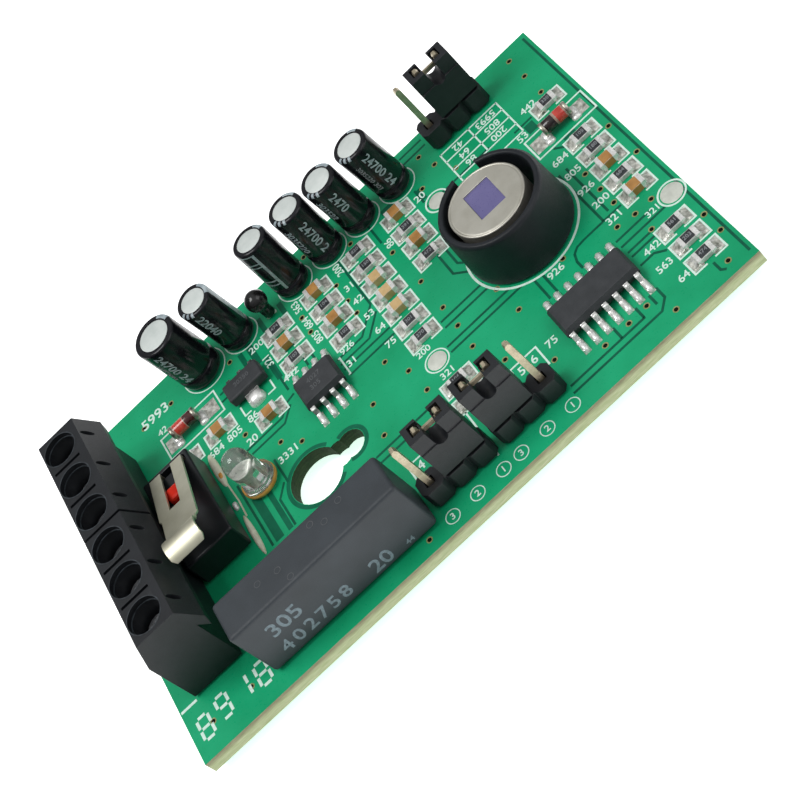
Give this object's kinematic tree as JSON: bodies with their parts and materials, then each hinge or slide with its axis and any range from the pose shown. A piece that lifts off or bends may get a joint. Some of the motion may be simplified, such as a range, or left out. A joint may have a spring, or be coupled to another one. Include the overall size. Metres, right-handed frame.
{
  "type": "pir motion detector board",
  "caption": "Bare circuit board of a passive infrared motion detector: pyroelectric sensor in a rubber holder, tamper switch, relay, screw terminals and setting jumpers.",
  "frame": {"origin": "middle of the board's solder side, on the laminate's face", "axes": "+X along the board, away from the screw terminals; +Y towards the edge with the capacitors; +Z out of the component side"},
  "size_m": [0.066, 0.043, 0.0128],
  "materials": {
    "solder_mask_green": "green solder mask over glass laminate",
    "terminal_black": "moulded, satin",
    "zinc": "zinc plated",
    "tinned_brass": "tinned",
    "nickel": "satin nickel plated spring strip",
    "gold": "pale gold plated",
    "switch_black": "moulded, semi-gloss",
    "red": "moulded, semi-gloss",
    "clear_resin": "clear cast resin",
    "relay_grey": "moulded, finely textured",
    "sleeve_black": "shrink sleeve over an aluminium can",
    "bead_black": "dipped lacquer",
    "can_metal": "plain tinned steel can, matt",
    "window_violet": "coated infrared filter, nearly opaque violet",
    "holder_rubber": "moulded, smooth",
    "header_black": "moulded",
    "circuit_black": "moulded epoxy",
    "glass": "clear barrel with a coloured band"
  },
  "bodies": {
    "board": {"circuit_board": "solder_mask_green", "terminal_housing_1": "terminal_black", "terminal_housing_2": "terminal_black", "switch_body": "switch_black", "led": "clear_resin", "relay": "relay_grey", "thermistor": "bead_black", "sensor_can": "can_metal", "sensor_window": "window_violet", "sensor_holder": "holder_rubber", "microcontroller": "circuit_black", "amplifier": "circuit_black", "regulator": "circuit_black", "diode_1": "glass", "diode_2": "glass", "terminal_contact_1": "tinned_brass", "capacitor_1": "sleeve_black", "terminal_contact_2": "tinned_brass", "capacitor_2": "sleeve_black", "terminal_contact_3": "tinned_brass", "capacitor_3": "sleeve_black", "terminal_contact_4": "tinned_brass", "capacitor_4": "sleeve_black", "terminal_contact_5": "tinned_brass", "capacitor_5": "sleeve_black", "terminal_contact_6": "tinned_brass", "capacitor_6": "sleeve_black", "alarm_header": "header_black", "alarm_pin_1": "gold", "alarm_pin_2": "gold", "alarm_pin_3": "gold", "led_header": "header_black", "led_pin_1": "gold", "led_pin_2": "gold", "led_pin_3": "gold", "pulse_header": "header_black", "pulse_pin_1": "gold", "pulse_pin_2": "gold", "pulse_pin_3": "gold"},
    "lever": {"switch_lever": "nickel"},
    "plunger": {"switch_plunger": "red"},
    "screw_1": {"terminal_screw_1": "zinc"},
    "clamp_1": {"clamp_cage_1": "zinc"},
    "screw_2": {"terminal_screw_2": "zinc"},
    "clamp_2": {"clamp_cage_2": "zinc"},
    "screw_3": {"terminal_screw_3": "zinc"},
    "clamp_3": {"clamp_cage_3": "zinc"},
    "screw_4": {"terminal_screw_4": "zinc"},
    "clamp_4": {"clamp_cage_4": "zinc"},
    "screw_5": {"terminal_screw_5": "zinc"},
    "clamp_5": {"clamp_cage_5": "zinc"},
    "screw_6": {"terminal_screw_6": "zinc"},
    "clamp_6": {"clamp_cage_6": "zinc"},
    "alarm_shunt": {"alarm_jumper": "header_black", "alarm_clip": "gold"},
    "led_shunt": {"led_jumper": "header_black", "led_clip": "gold"},
    "pulse_shunt": {"pulse_jumper": "header_black", "pulse_clip": "gold"}
  },
  "joints": [
    {"name": "plunger_slide", "type": "slide", "parent": "board", "child": "plunger", "axis": [0, 0, -1], "range_m": [0, 0.000858]},
    {"name": "lever_hinge", "type": "hinge", "parent": "board", "child": "lever", "pos_m": [-0.0213, 0.00635, 0.00555], "axis": [1, 0, 0], "range_deg": [0, 12], "stiffness_Nm_per_rad": 0.03},
    {"name": "clamp_1_lift", "type": "slide", "parent": "board", "child": "clamp_1", "axis": [0, 0, 1], "range_m": [0, 0.000674]},
    {"name": "screw_1_turn", "type": "hinge", "parent": "board", "child": "screw_1", "pos_m": [-0.0276, -0.01255, 0.0076], "axis": [0, 0, -1], "range_deg": [0, 540]},
    {"name": "clamp_2_lift", "type": "slide", "parent": "board", "child": "clamp_2", "axis": [0, 0, 1], "range_m": [0, 0.000674]},
    {"name": "screw_2_turn", "type": "hinge", "parent": "board", "child": "screw_2", "pos_m": [-0.0276, -0.00755, 0.0076], "axis": [0, 0, -1], "range_deg": [0, 540]},
    {"name": "clamp_3_lift", "type": "slide", "parent": "board", "child": "clamp_3", "axis": [0, 0, 1], "range_m": [0, 0.000674]},
    {"name": "screw_3_turn", "type": "hinge", "parent": "board", "child": "screw_3", "pos_m": [-0.0276, -0.00255, 0.0076], "axis": [0, 0, -1], "range_deg": [0, 540]},
    {"name": "clamp_4_lift", "type": "slide", "parent": "board", "child": "clamp_4", "axis": [0, 0, 1], "range_m": [0, 0.000674]},
    {"name": "screw_4_turn", "type": "hinge", "parent": "board", "child": "screw_4", "pos_m": [-0.0276, 0.00245, 0.0076], "axis": [0, 0, -1], "range_deg": [0, 540]},
    {"name": "clamp_5_lift", "type": "slide", "parent": "board", "child": "clamp_5", "axis": [0, 0, 1], "range_m": [0, 0.000674]},
    {"name": "screw_5_turn", "type": "hinge", "parent": "board", "child": "screw_5", "pos_m": [-0.0276, 0.00745, 0.0076], "axis": [0, 0, -1], "range_deg": [0, 540]},
    {"name": "clamp_6_lift", "type": "slide", "parent": "board", "child": "clamp_6", "axis": [0, 0, 1], "range_m": [0, 0.000674]},
    {"name": "screw_6_turn", "type": "hinge", "parent": "board", "child": "screw_6", "pos_m": [-0.0276, 0.01245, 0.0076], "axis": [0, 0, -1], "range_deg": [0, 540]},
    {"name": "alarm_shunt_pull", "type": "slide", "parent": "board", "child": "alarm_shunt", "axis": [0, 0, 1], "range_m": [0, 0.007]},
    {"name": "led_shunt_pull", "type": "slide", "parent": "board", "child": "led_shunt", "axis": [0, 0, 1], "range_m": [0, 0.007]},
    {"name": "pulse_shunt_pull", "type": "slide", "parent": "board", "child": "pulse_shunt", "axis": [0, 0, 1], "range_m": [0, 0.007]}
  ],
  "couplings": [
    {"joint": "lever_hinge", "follows": "plunger_slide", "rad_per_m": 243.9},
    {"joint": "screw_1_turn", "follows": "clamp_1_lift", "rad_per_m": 13963},
    {"joint": "screw_2_turn", "follows": "clamp_2_lift", "rad_per_m": 13963},
    {"joint": "screw_3_turn", "follows": "clamp_3_lift", "rad_per_m": 13963},
    {"joint": "screw_4_turn", "follows": "clamp_4_lift", "rad_per_m": 13963},
    {"joint": "screw_5_turn", "follows": "clamp_5_lift", "rad_per_m": 13963},
    {"joint": "screw_6_turn", "follows": "clamp_6_lift", "rad_per_m": 13963}
  ]
}
